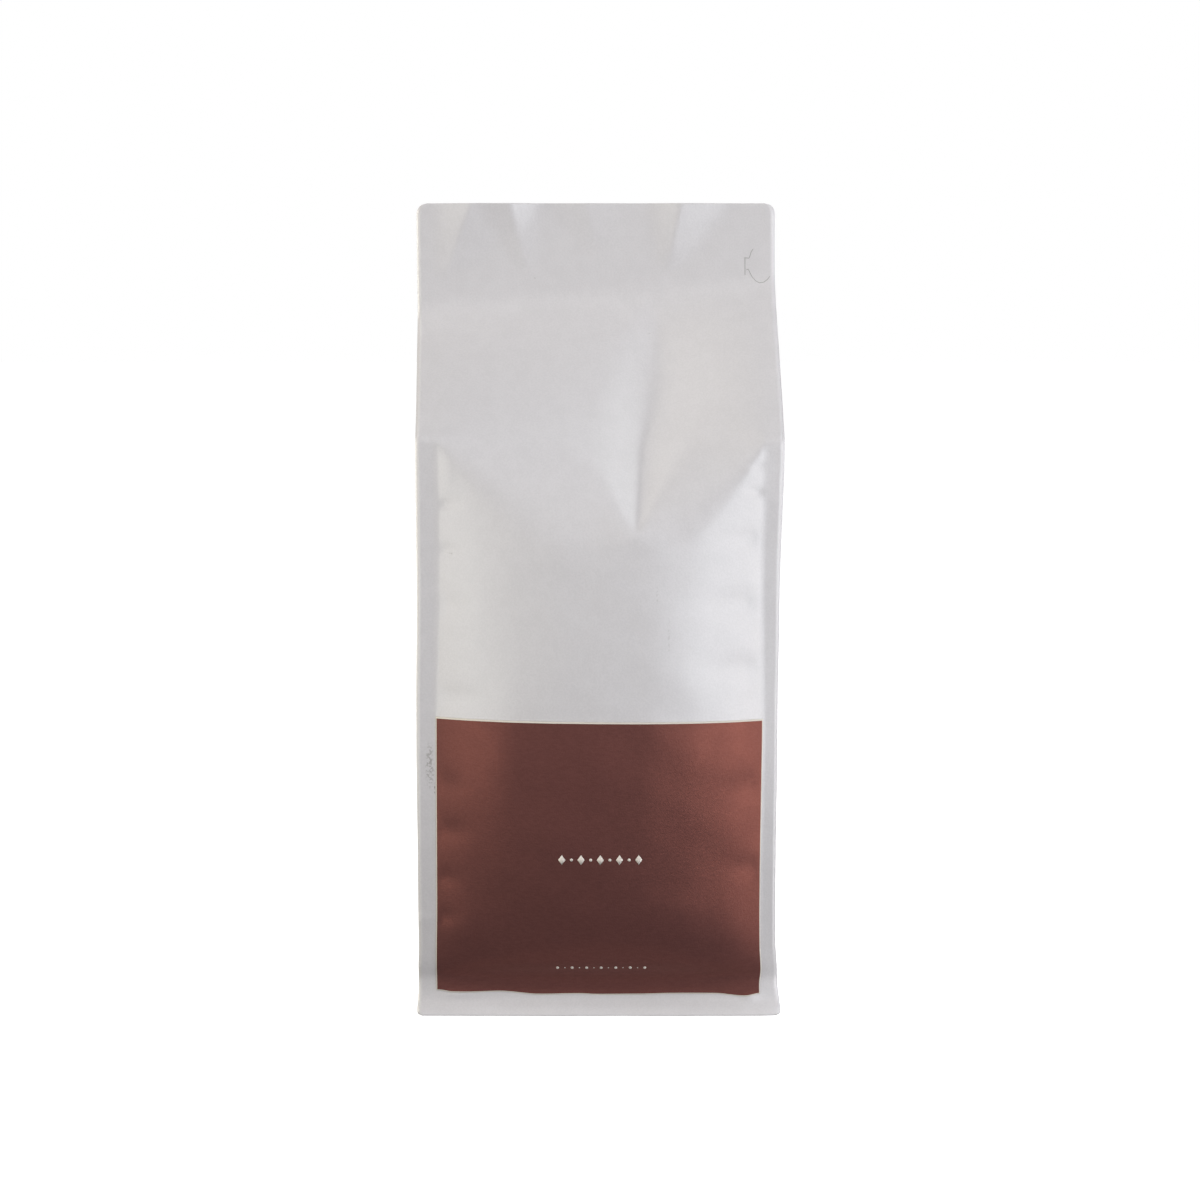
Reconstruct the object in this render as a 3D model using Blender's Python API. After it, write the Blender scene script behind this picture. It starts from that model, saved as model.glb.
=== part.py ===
"""Filled and sealed coffee pouch with a flat bottom: one closed solid, and the label on its front.

Units are metres. The front faces -Y, the pouch stands on z = 0 and the origin lies under its middle.
The film is described level by level. A level is a height before the slight slant of the folds, and at
each level one closed ring of points runs round the front, the right side, the back and the left side.
"""

import bmesh
import bpy
import numpy as np

# Film panels: the front and back with their edge seals, and the sides between them
HEIGHT = 0.324
FIN_WIDTH = 0.008
FIN_THICKNESS = 0.0008
GUSSET_HALF = 0.0475
TOP_HALF_DEPTH = 0.0009
PRESSED_FILM_SHARE = 0.6
TOP_CORNER_RADIUS = 0.0043
FOOT_CORNER_RADIUS = 0.0022

# Half of the width over both edge seals, and the sideways drift of the middle, by level
HALF_WIDTH = [(0.0, 0.0726), (0.006, 0.0723), (0.018, 0.0713), (0.045, 0.0710), (0.070, 0.0713),
              (0.165, 0.0714), (0.228, 0.0726), (HEIGHT, 0.0725)]
DRIFT = [(0.0, 0.0002), (0.040, -0.0006), (0.070, -0.0005), (0.150, -0.0001), (0.228, 0.0006),
         (0.285, -0.0006), (HEIGHT, -0.0009)]

# Filled body: how far the edge seals stand from the middle plane, and how far the panels crown
SEAL_DEPTH = [(0.0, 0.0505), (0.009, 0.0480), (0.018, 0.0462), (0.060, 0.0472), (0.150, 0.0474),
              (0.228, 0.0466), (HEIGHT, 0.0466)]
CROWN = [(0.0, 0.0004), (0.009, 0.0006), (0.015, 0.0022), (0.024, 0.0060), (0.045, 0.0105),
         (0.080, 0.0128), (0.130, 0.0132), (0.180, 0.0118), (0.228, 0.0085), (HEIGHT, 0.0085)]
CROWN_POWER = 2.2

# Tapered shoulder: from the seal corners of the body up to the line where the pouch closes flat
SHOULDER_LEVEL = 0.2275
CLOSE_LEVEL = 0.2850
VALLEY_TOP_LEVEL = 0.2820
SHOULDER_ROUNDING = 0.0035
CLOSE_ROUNDING = 0.0030
VALLEY_SOFTNESS = 0.10
SLANT = [(0.0, 0.0), (0.185, 0.0), (0.2275, -0.0015), (0.285, 0.0048), (0.312, 0.0008),
         (HEIGHT, 0.0)]

# Valley pressed into the shoulder of each panel: its tip, the depth there, and its place at the top
FRONT_VALLEY = {"tip_x": 0.0150, "tip_level": 0.193, "tip_depth": 0.0580, "top_x": 0.0212}
BACK_VALLEY = {"tip_x": -0.0120, "tip_level": 0.199, "tip_depth": 0.0570, "top_x": -0.0060}

# Side panels: outward bulge by level, and the levels between which the inward fold takes over
GUSSET_BULGE = [(0.0, 0.0022), (0.009, 0.0004), (0.018, 0.0012), (0.045, 0.0042), (0.090, 0.0055),
                (0.150, 0.0044), (0.205, 0.0012), (HEIGHT, 0.0)]
FOLD_START_LEVEL = 0.178
FOLD_FULL_LEVEL = 0.236
FOLD_SOFTNESS = 0.10
SLOT_SHUT = 0.0006
SLOT_OPEN = 0.0032

# Buckles of the flat top: x at the top edge, x at the tip, tip level, half width at the top, height
BUCKLE_TIP_WIDTH = 0.0020
BUCKLE_RUN_IN = 0.6
BUCKLES = [(0.0440, 0.0282, 0.296, 0.0130, 0.0014),
           (-0.0200, -0.0280, 0.297, 0.0100, 0.0007),
           (-0.0630, -0.0600, 0.298, 0.0080, 0.0009)]

# Base: a shallow groove between the bottom seal and the flat middle
GROOVE_DEPTH = 0.0015
GROOVE_WIDTH = 0.012

# Label on the front
LABEL_LOW_LEVEL = 0.0095
LABEL_HIGH_LEVEL = 0.1185
LABEL_THICKNESS = 0.0004
LABEL_GAP = 0.0003
LABEL_INSET = 0.0004

# Finish
FILM_COLOR = (0.62, 0.60, 0.58)
FILM_ROUGHNESS = 0.42
LABEL_COLOR = (0.115, 0.045, 0.036)
LABEL_ROUGHNESS = 0.38

# Fineness of the mesh: segments across a panel, across a side and across an edge seal
PANEL_SEGMENTS = 30
GUSSET_SEGMENTS = 12
FIN_SEGMENTS = 1
LEVEL_SPANS = [(0.0, LABEL_LOW_LEVEL, 4), (LABEL_LOW_LEVEL, 0.030, 6), (0.030, 0.070, 3),
               (0.070, LABEL_HIGH_LEVEL, 2), (LABEL_HIGH_LEVEL, 0.176, 3), (0.176, 0.240, 9),
               (0.240, 0.274, 4), (0.274, 0.290, 5), (0.290, HEIGHT - TOP_CORNER_RADIUS, 4),
               (HEIGHT - TOP_CORNER_RADIUS, HEIGHT, 4)]


def smooth_step(low, high, value):
    """Rises from 0 at low to 1 at high, level at both ends."""
    t = np.clip((value - low) / (high - low), 0.0, 1.0)
    return t * t * (3.0 - 2.0 * t)


def smooth_min(a, b, radius):
    """The lower of two surfaces, with the edge between them rounded."""
    share = np.clip(0.5 + 0.5 * (b - a) / radius, 0.0, 1.0)
    return b * (1.0 - share) + a * share - radius * share * (1.0 - share)


def smooth_max(a, b, radius):
    """The higher of two surfaces, with the edge between them rounded."""
    return -smooth_min(-a, -b, radius)


def soft_abs(value, softness):
    """The distance from zero, rounded near zero and exact at 1."""
    return (np.sqrt(value * value + softness * softness) - softness) / (
        np.sqrt(1.0 + softness * softness) - softness)


def curve(keys, level):
    """A smooth curve through pairs of level and value, which never swings past them."""
    at = np.array([key[0] for key in keys])
    value = np.array([key[1] for key in keys])
    step = np.diff(at)
    slope = np.diff(value) / step
    turns = slope[:-1] * slope[1:] <= 0.0
    total = np.where(turns, 1.0, slope[:-1] + slope[1:])
    inner = np.where(turns, 0.0, 2.0 * slope[:-1] * slope[1:] / total)
    tangent = np.concatenate(([slope[0]], inner, [slope[-1]]))
    level = np.clip(level, at[0], at[-1])
    i = np.clip(np.searchsorted(at, level) - 1, 0, len(step) - 1)
    t = (level - at[i]) / step[i]
    rise = t * t * (3.0 - 2.0 * t)
    return (value[i] * (1.0 - rise) + value[i + 1] * rise
            + step[i] * t * (1.0 - t) * ((1.0 - t) * tangent[i] - t * tangent[i + 1]))


def half_width(level):
    """Half of the width over the edge seals, with the rounded corners at the top and the foot."""
    width = curve(HALF_WIDTH, level)
    above = np.clip(level - (HEIGHT - TOP_CORNER_RADIUS), 0.0, TOP_CORNER_RADIUS)
    below = np.clip(FOOT_CORNER_RADIUS - level, 0.0, FOOT_CORNER_RADIUS)
    width = width - TOP_CORNER_RADIUS + np.sqrt(TOP_CORNER_RADIUS ** 2 - above ** 2)
    return width - FOOT_CORNER_RADIUS + np.sqrt(FOOT_CORNER_RADIUS ** 2 - below ** 2)


def slant(x, level):
    """How far a point of the film lies above its level, as the folds run at a slight slant."""
    return curve(SLANT, level) * x / curve(HALF_WIDTH, level)


def sway(x, level):
    """The buckles of the flat top, as a shift of the whole thickness towards the front."""
    shift = 0.0
    for top_x, tip_x, tip_level, top_width, height in BUCKLES:
        up = np.clip((level - tip_level) / (HEIGHT - tip_level), 0.0, 1.0)
        middle = tip_x + (top_x - tip_x) * up
        width = BUCKLE_TIP_WIDTH + top_width * up
        across = 1.0 - smooth_step(0.0, width, abs(x - middle))
        shift = shift + height * smooth_step(0.0, BUCKLE_RUN_IN, up) * across
    return shift


def shoulder_line(level):
    """Depth of the edge seals on the tapered shoulder."""
    rise = (curve(SEAL_DEPTH, SHOULDER_LEVEL) - TOP_HALF_DEPTH) / (CLOSE_LEVEL - SHOULDER_LEVEL)
    return TOP_HALF_DEPTH + (CLOSE_LEVEL - level) * rise


def shoulder_depth(x, level, valley):
    """Depth of the tapered shoulder: two slopes that meet in the valley."""
    run = (VALLEY_TOP_LEVEL - level) / (VALLEY_TOP_LEVEL - valley["tip_level"])
    bottom = TOP_HALF_DEPTH + (valley["tip_depth"] - TOP_HALF_DEPTH) * run
    middle = valley["top_x"] + (valley["tip_x"] - valley["top_x"]) * run
    inner = curve(HALF_WIDTH, level) - FIN_WIDTH
    reach = np.where(x < middle, inner + middle, inner - middle)
    share = soft_abs(np.clip(abs(x - middle) / reach, 0.0, 1.0), VALLEY_SOFTNESS)
    return bottom + (shoulder_line(level) - bottom) * share


def panel_depth(x, level, valley):
    """Distance of a panel's outer face from the middle plane, at x from the panel's own middle."""
    inner = curve(HALF_WIDTH, level) - FIN_WIDTH
    across = np.clip(abs(x) / inner, 0.0, 1.0)
    body = curve(SEAL_DEPTH, level) + curve(CROWN, level) * (1.0 - across ** CROWN_POWER)
    filled = smooth_min(body, shoulder_depth(x, level, valley), SHOULDER_ROUNDING)
    return smooth_max(filled, TOP_HALF_DEPTH, CLOSE_ROUNDING)


def gusset_reach(across, level, half_gap):
    """How far a side panel stands out past the root of the seals; below zero where it folds in."""
    bulge = curve(GUSSET_BULGE, level) * (1.0 - across * across)
    tuck = np.sqrt(max(GUSSET_HALF ** 2 - half_gap ** 2, 0.0))
    fold = -tuck * (1.0 - soft_abs(across, FOLD_SOFTNESS))
    share = smooth_step(FOLD_START_LEVEL, FOLD_FULL_LEVEL, level)
    return bulge * (1.0 - share) + fold * share


def panel_columns():
    """Places across a panel between the seals, from -1 to 1."""
    return np.linspace(-1.0, 1.0, PANEL_SEGMENTS + 1)


def levels():
    """All levels from the foot to the top edge, closer together where the shape turns."""
    found = [0.0]
    for low, high, count in LEVEL_SPANS:
        found.extend(np.linspace(low, high, count + 1)[1:])
    return found


def panel_line(level, valley):
    """Points of a panel at one level, seal to seal: x from the middle, and depth."""
    width = half_width(level)
    inner = width - FIN_WIDTH
    seal = np.linspace(inner, width, FIN_SEGMENTS + 1)[1:]
    x = np.concatenate((-seal[::-1], panel_columns() * inner, seal))
    return x, panel_depth(x, level, valley)


def side_line(level):
    """Points of the right side at one level, front to back: x from the middle, and y."""
    width = half_width(level)
    front = panel_depth(width, level, FRONT_VALLEY)
    back = panel_depth(width, level, BACK_VALLEY)
    film = min(FIN_THICKNESS, PRESSED_FILM_SHARE * min(front, back))
    half_gap = 0.5 * (front + back) - film
    opened = smooth_step(SLOT_SHUT, SLOT_OPEN, half_gap)
    root = width - FIN_WIDTH * opened
    across = np.linspace(-1.0, 1.0, GUSSET_SEGMENTS + 1)
    x = root + opened * gusset_reach(across, level, half_gap)
    y = 0.5 * (back - front) + across * half_gap
    seal_x = np.linspace(width, root, FIN_SEGMENTS + 1)[:-1]
    x = np.concatenate((seal_x, x, seal_x[::-1]))
    y = np.concatenate((np.full(FIN_SEGMENTS, y[0]), y, np.full(FIN_SEGMENTS, y[-1])))
    return x, y


def ring(level):
    """The closed ring of points at one level, anticlockwise seen from above."""
    front_x, front_depth = panel_line(level, FRONT_VALLEY)
    back_x, back_depth = panel_line(level, BACK_VALLEY)
    side_x, side_y = side_line(level)
    x = np.concatenate((front_x, side_x, back_x[::-1], -side_x[::-1]))
    y = np.concatenate((-front_depth, side_y, back_depth[::-1], side_y[::-1]))
    z = level + slant(x, level)
    return np.stack((x + curve(DRIFT, level), y - sway(x, level), z), axis=1)


def add_strip(mesh, near, far):
    """Joins two lines of as many points with a strip of faces."""
    for k in range(len(near) - 1):
        mesh.faces.new((near[k], near[k + 1], far[k + 1], far[k]))


def ring_sides(points):
    """Splits a ring into its front and back, left to right, and its right and left, front to back."""
    panel = PANEL_SEGMENTS + 1 + 2 * FIN_SEGMENTS
    side = GUSSET_SEGMENTS + 1 + 2 * FIN_SEGMENTS
    front = points[:panel]
    right = points[panel:panel + side]
    back = points[panel + side:2 * panel + side][::-1]
    left = points[2 * panel + side:][::-1]
    return front, back, right, left


def base_row(mesh, start, end):
    """The inner points of one row of the base, with the groove beside the bottom seal."""
    made = []
    half_span = 0.5 * (end.x - start.x)
    for place in panel_columns()[1:-1]:
        x = 0.5 * (start.x + end.x) + place * half_span
        edge = min(half_span * (1.0 - abs(place)), GUSSET_HALF - abs(start.y))
        share = np.clip(edge / GROOVE_WIDTH, 0.0, 1.0)
        lift = GROOVE_DEPTH * (4.0 * share * (1.0 - share)) ** 2
        made.append(mesh.verts.new((x, start.y, lift)))
    return made


def add_base(mesh, foot):
    """Closes the bottom: the four edge seals, and a grid of rows from side to side."""
    front, back, right, left = ring_sides(foot)
    edge = FIN_SEGMENTS + 1
    for near, far in ((front, left), (front[::-1], right), (back, left[::-1]), (back[::-1], right[::-1])):
        add_strip(mesh, near[:edge], far[:edge])
    rows = [front[FIN_SEGMENTS:-FIN_SEGMENTS]]
    for start, end in zip(left[FIN_SEGMENTS:-FIN_SEGMENTS], right[FIN_SEGMENTS:-FIN_SEGMENTS]):
        rows.append([start] + base_row(mesh, start.co, end.co) + [end])
    rows.append(back[FIN_SEGMENTS:-FIN_SEGMENTS])
    for near, far in zip(rows, rows[1:]):
        add_strip(mesh, near, far)


def add_top(mesh, rim):
    """Closes the thin top edge with a strip from front to back, and a fan at each end."""
    front, back, right, left = ring_sides(rim)
    add_strip(mesh, front[1:-1], back[1:-1])
    right_fan = [front[-1]] + right + [back[-1], back[-2]]
    left_fan = [front[0]] + left + [back[0], back[1]]
    for middle, fan in ((front[-2], right_fan), (front[1], left_fan)):
        for first, second in zip(fan, fan[1:]):
            mesh.faces.new((middle, first, second))


def add_object(name, mesh, material):
    """Turns a finished bmesh into a smooth-shaded object with one material."""
    bmesh.ops.recalc_face_normals(mesh, faces=mesh.faces)
    data = bpy.data.meshes.new(name)
    mesh.to_mesh(data)
    mesh.free()
    data.materials.append(material)
    data.shade_smooth()
    item = bpy.data.objects.new(name, data)
    bpy.context.scene.collection.objects.link(item)
    return item


def make_material(name, color, roughness):
    """A plain Principled BSDF material, not metallic."""
    material = bpy.data.materials.new(name)
    material.use_nodes = True
    shader = material.node_tree.nodes["Principled BSDF"]
    shader.inputs["Base Color"].default_value = (*color, 1.0)
    shader.inputs["Roughness"].default_value = roughness
    shader.inputs["Metallic"].default_value = 0.0
    return material


def make_pouch():
    """The whole filled pouch with its seals, as one closed solid."""
    mesh = bmesh.new()
    rings = []
    for level in levels():
        rings.append([mesh.verts.new(point) for point in ring(level)])
    for lower, upper in zip(rings, rings[1:]):
        add_strip(mesh, lower + lower[:1], upper + upper[:1])
    add_base(mesh, rings[0])
    add_top(mesh, rings[-1])
    film = make_material("pearl_film", FILM_COLOR, FILM_ROUGHNESS)
    return add_object("pouch", mesh, film)


def label_line(level):
    """Points of the label at one level, left to right: its outer face, then its inner face."""
    inner = half_width(level) - FIN_WIDTH
    x = np.clip(panel_columns() * inner, LABEL_INSET - inner, inner - LABEL_INSET)
    depth = panel_depth(x, level, FRONT_VALLEY) + LABEL_GAP
    z = np.full_like(x, level)
    outer = np.stack((x + curve(DRIFT, level), -depth - LABEL_THICKNESS, z), axis=1)
    return outer, outer + (0.0, LABEL_THICKNESS, 0.0)


def make_label():
    """The label: a thin sheet that follows the front panel between its seals, a small gap off it."""
    mesh = bmesh.new()
    lines = []
    for level in levels():
        if LABEL_LOW_LEVEL <= level <= LABEL_HIGH_LEVEL:
            lines.append([[mesh.verts.new(point) for point in face] for face in label_line(level)])
    for (outer, inner), (outer_above, inner_above) in zip(lines, lines[1:]):
        add_strip(mesh, outer, outer_above)
        add_strip(mesh, inner, inner_above)
        for end in (0, -1):
            mesh.faces.new((outer[end], inner[end], inner_above[end], outer_above[end]))
    for outer, inner in (lines[0], lines[-1]):
        add_strip(mesh, outer, inner)
    paper = make_material("brown_label", LABEL_COLOR, LABEL_ROUGHNESS)
    return add_object("label", mesh, paper)


def main():
    for item in list(bpy.data.objects):
        bpy.data.objects.remove(item, do_unlink=True)
    make_pouch()
    make_label()


main()
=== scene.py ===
import math

import bpy
import numpy as np
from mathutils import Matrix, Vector


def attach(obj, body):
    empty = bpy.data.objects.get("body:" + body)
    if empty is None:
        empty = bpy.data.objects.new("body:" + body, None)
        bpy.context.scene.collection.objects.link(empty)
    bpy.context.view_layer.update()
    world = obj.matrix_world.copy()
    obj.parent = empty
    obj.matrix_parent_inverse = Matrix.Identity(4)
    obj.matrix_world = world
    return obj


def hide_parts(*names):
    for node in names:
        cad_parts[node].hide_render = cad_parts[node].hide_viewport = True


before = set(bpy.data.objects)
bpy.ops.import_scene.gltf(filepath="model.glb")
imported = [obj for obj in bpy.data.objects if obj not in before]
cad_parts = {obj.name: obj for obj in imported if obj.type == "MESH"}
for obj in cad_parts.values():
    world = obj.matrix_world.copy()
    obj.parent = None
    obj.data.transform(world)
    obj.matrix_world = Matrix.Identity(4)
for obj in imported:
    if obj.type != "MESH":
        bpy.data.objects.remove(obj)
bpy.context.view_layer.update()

MM = 0.001

# Camera, fitted to the photograph: a frame of 1200 by 1200 pixels
FOCAL_PIXELS = 2787.0
FRAME_PIXELS = 1200.0
SENSOR_MM = 36.0
CAMERA_PLACE = (0.0008, -1.143, 0.2793)
CAMERA_DOWN_DEGREES = 5.86

# Film panels, in metres, with the same driving sizes as the solids
HEIGHT = 0.324
FIN_THICKNESS = 0.0006
GUSSET_HALF = 0.0475
TOP_HALF_DEPTH = 0.0007
PRESSED_FILM_SHARE = 0.6
TOP_CORNER_RADIUS = 0.0043
FOOT_CORNER_RADIUS = 0.0022

# Half of the width over both edge seals, and the sideways drift of the middle, by level
HALF_WIDTH = [(0.0, 0.0730), (0.006, 0.0725), (0.012, 0.0720), (0.018, 0.0719), (0.030, 0.0714),
              (0.067, 0.0715), (0.107, 0.0718), (0.167, 0.0718), (0.228, 0.0727), (HEIGHT, 0.0728)]
DRIFT = [(0.0, 0.0004), (0.018, -0.0001), (0.045, -0.0005), (0.127, -0.0004), (0.150, -0.0001),
         (0.190, 0.0003), (0.228, 0.0008), (0.285, -0.0007), (HEIGHT, -0.0010)]

# Where each edge seal starts, measured from the middle, by level
LEFT_SEAL_ROOT = [(0.0, 0.0650), (0.015, 0.0649), (0.046, 0.0641), (0.119, 0.0640), (0.160, 0.0633),
                  (0.204, 0.0637), (0.228, 0.0646), (HEIGHT, 0.0650)]
RIGHT_SEAL_ROOT = [(0.0, 0.0648), (0.011, 0.0649), (0.018, 0.0656), (0.028, 0.0653), (0.060, 0.0654),
                   (0.119, 0.0659), (0.156, 0.0650), (0.188, 0.0645), (0.2065, 0.0649),
                   (0.2130, 0.0641), (0.2200, 0.0651), (0.2275, 0.0650), (HEIGHT, 0.0645)]

# Filled body, all by level: how far the edge seals stand from the middle plane, how far the panels
# crown, how boxy the crown is, and how much the right edge seal leans back
SEAL_DEPTH = [(0.0, 0.0509), (0.0030, 0.0492), (0.0060, 0.0471), (0.0110, 0.0459), (0.0145, 0.0455),
              (0.0195, 0.0464), (0.0240, 0.0468), (0.060, 0.0472), (0.150, 0.0474), (0.228, 0.0466),
              (HEIGHT, 0.0466)]
CROWN = [(0.0, 0.0004), (0.009, 0.0005), (0.0150, 0.0016), (0.022, 0.0056), (0.032, 0.0088),
         (0.048, 0.0112), (0.080, 0.0129), (0.130, 0.0132), (0.180, 0.0118), (0.228, 0.0085),
         (HEIGHT, 0.0085)]
CROWN_POWER = [(0.0, 2.3), (0.035, 1.9), (0.060, 2.1), (0.105, 2.6), (0.150, 2.3), (HEIGHT, 2.3)]
RIGHT_SEAL_LEAN = [(0.0, 0.10), (0.060, 0.06), (0.127, 0.11), (0.165, 0.07), (HEIGHT, 0.07)]

# Tapered shoulder: its levels from the corners of the body up to the line where the pouch closes
# flat, the roundings of its edges, the valley's curve, and the slant of the folds by level
SHOULDER_LEVEL = 0.2300
CLOSE_LEVEL = 0.2840
VALLEY_TOP_LEVEL = 0.2815
SHOULDER_ROUNDING = 0.0014
SHOULDER_SOFT_ROUNDING = 0.0160
CLOSE_ROUNDING = 0.0065
VALLEY_SOFTNESS = 0.02
VALLEY_POWER = 1.5
SLANT = [(0.0, 0.0), (0.185, 0.0), (0.2300, -0.0004), (0.285, 0.0060), (0.314, 0.0008),
         (HEIGHT, 0.0)]

# Valley pressed into the shoulder of each panel: its tip, the depth there, and the crease's line
FRONT_VALLEY = {"tip_level": 0.193, "tip_depth": 0.0580,
                "crease": [(0.193, 0.0147), (0.2103, 0.0156), (0.2256, 0.0163), (0.2334, 0.0180),
                           (0.2400, 0.0200), (0.2500, 0.0222), (0.2650, 0.0240), (0.2745, 0.0241),
                           (0.285, 0.0220)]}
BACK_VALLEY = {"tip_level": 0.199, "tip_depth": 0.0570,
               "crease": [(0.199, -0.0120), (0.225, -0.0126), (0.245, -0.0100), (0.265, -0.0064),
                          (0.285, -0.0060)]}

# Trench along each crease: half of its flat bottom and its width by level, the slope of its left
# wall, and how much wider the right wall is
TRENCH_FLOOR = [(0.191, 0.0003), (0.214, 0.0007), (0.226, 0.0010), (0.234, 0.0020), (0.2486, 0.0040),
                (0.258, 0.0032), (0.2675, 0.0015), (0.280, 0.0004)]
TRENCH_WIDTH = [(0.191, 0.0), (0.200, 0.0055), (0.214, 0.0100), (0.230, 0.0130), (0.250, 0.0160),
                (0.268, 0.0130), (0.286, 0.0)]
TRENCH_SLOPE = 0.13
TRENCH_RIGHT_STRETCH = 2.6
TRENCH_LIP = 0.35

# Side panels: outward bulge by level, and the levels between which the inward fold takes over
GUSSET_BULGE = [(0.0, 0.0022), (0.009, 0.0004), (0.018, 0.0012), (0.045, 0.0042), (0.090, 0.0055),
                (0.150, 0.0044), (0.205, 0.0012), (HEIGHT, 0.0)]
FOLD_START_LEVEL = 0.178
FOLD_FULL_LEVEL = 0.236
FOLD_SOFTNESS = 0.05
SLOT_SHUT = 0.0004
SLOT_OPEN = 0.0028

# Buckles of the flat top: x at the top edge and at the tip, tip level, slope, widths left and right
BUCKLE_LIP = 0.3
BUCKLE_TIP_WIDTH = 0.0010
BUCKLE_SPREAD_POWER = 0.6
BUCKLES = [(0.0345, 0.0288, 0.2940, 0.190, 0.0110, 0.0180),
           (-0.0040, 0.0010, 0.2990, 0.080, 0.0120, 0.0150),
           (-0.0350, -0.0275, 0.2965, 0.190, 0.0110, 0.0105),
           (-0.0505, -0.0615, 0.2970, 0.110, 0.0120, 0.0280)]

# Pinches that run in from an edge seal: side, level, length, half height and depth, and the share
# of the length at which a pinch is deepest
PINCH_PEAK = 0.2
PINCHES = [(-1.0, 0.2045, 0.012, 0.0020, 0.00055), (-1.0, 0.1870, 0.012, 0.0024, 0.00050),
           (-1.0, 0.1660, 0.018, 0.0045, 0.00045), (-1.0, 0.1285, 0.026, 0.0045, 0.00055),
           (1.0, 0.2200, 0.009, 0.0016, 0.00040), (1.0, 0.2095, 0.009, 0.0020, 0.00060),
           (1.0, 0.1910, 0.026, 0.0042, 0.00065), (1.0, 0.1655, 0.036, 0.0060, 0.00085),
           (1.0, 0.1400, 0.034, 0.0055, 0.00080), (1.0, 0.1270, 0.018, 0.0035, 0.00025),
           (1.0, 0.0930, 0.020, 0.0060, 0.00040), (1.0, 0.0600, 0.018, 0.0050, 0.00030),
           (-1.0, 0.0940, 0.016, 0.0050, 0.00035), (-1.0, 0.0750, 0.018, 0.0050, 0.00040),
           (-1.0, 0.0560, 0.014, 0.0040, 0.00030), (-1.0, 0.0400, 0.015, 0.0040, 0.00035)]

# Small bumps: x, level, half width, half height and height
BUMPS = [(-0.0565, 0.0078, 0.0060, 0.0015, 0.0007), (0.0608, 0.0068, 0.0030, 0.0016, 0.0009),
         (-0.0600, 0.2170, 0.0035, 0.0060, 0.0003), (0.0605, 0.2150, 0.0050, 0.0070, 0.0003),
         (0.0300, 0.2150, 0.0090, 0.0110, 0.0005), (-0.0690, 0.0388, 0.0040, 0.0016, 0.0003),
         (0.0530, 0.1060, 0.0080, 0.0120, 0.0004), (0.0340, 0.0400, 0.0150, 0.0150, 0.0013),
         (0.0520, 0.0340, 0.0100, 0.0120, 0.0006),
         (-0.0540, 0.0360, 0.0100, 0.0100, 0.0007)]

# Slow ripples of the filled film: how high, how long, how many, and the seed of their directions
RIPPLE_HEIGHT = 0.00004
RIPPLE_LENGTH = 0.030
RIPPLE_LENGTH_RANGE = (0.6, 1.8)
RIPPLE_COUNT = 14
RIPPLE_SEED = 7

# Base: a shallow groove between the bottom seal and the flat middle
GROOVE_DEPTH = 0.0015
GROOVE_WIDTH = 0.012

# Label on the front
LABEL_HIGH_LEVEL = 0.1200
LABEL_THICKNESS = 0.00022
LABEL_GAP = 0.00012
LABEL_TOP_BORDER = 0.0007
LABEL_EDGE = 0.00035
LABEL_ROWS = 150

# Upper and lower edges of the label, which wave a little: level by x
LABEL_HEAD = [(-0.066, 0.1204), (-0.030, 0.1202), (0.0, 0.1200), (0.040, 0.1197), (0.067, 0.1195)]
LABEL_FOOT = [(-0.066, 0.0096), (-0.0613, 0.0092), (-0.0580, 0.0087), (-0.0503, 0.0086),
              (-0.0385, 0.0089), (-0.0228, 0.0078), (-0.0071, 0.0080), (0.0010, 0.0077),
              (0.0165, 0.0078), (0.0322, 0.0081), (0.0480, 0.0080), (0.0590, 0.0071),
              (0.0645, 0.0079), (0.067, 0.0082)]

# Marks on the label, where the photograph has two lines of print
DIAMOND_ROW_LEVEL = 0.0650
DIAMOND_COUNT = 9
DIAMOND_SPACING = 0.0038
DIAMOND_HALF_WIDTH = 0.0014
DIAMOND_HALF_HEIGHT = 0.0020
DOT_ROW_LEVEL = 0.0196
DOT_COUNT = 13
DOT_SPACING = 0.0029
DOT_HALF_SIZE = 0.0006
DOT_POINTS = 16
SMALL_MARK_SHARE = 0.4
MARKS_MIDDLE = 0.0014
MARK_HEIGHT = 0.00005

# Die-cut tear tab: points as x and height, in millimetres
TEAR_SLIT = [(59.6, 302.4), (59.6, 295.1)]
TEAR_UPPER_HOOK = [(59.8, 302.0), (61.3, 301.9), (61.8, 303.2), (62.1, 304.3), (62.9, 305.6)]
TEAR_LOWER_HOOK = [(60.1, 297.1), (60.9, 297.5), (61.5, 296.3), (62.4, 294.4), (63.9, 292.7),
                   (65.4, 291.9), (67.2, 292.2), (68.8, 293.4), (69.7, 294.6)]
TEAR_LINE = 0.00024
TEAR_HEIGHT = 0.00006
TEAR_STEPS = 6
LEVEL_ROUNDS = 4

# Fineness of the meshes
PANEL_SEGMENTS = 108
GUSSET_SEGMENTS = 28
FIN_SEGMENTS = 4
LEVEL_SPANS = [(0.0, 0.030, 44), (0.030, 0.100, 46), (0.100, 0.176, 54), (0.176, 0.274, 88),
               (0.274, 0.290, 20), (0.290, HEIGHT - TOP_CORNER_RADIUS, 30),
               (HEIGHT - TOP_CORNER_RADIUS, HEIGHT, 8)]

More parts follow.
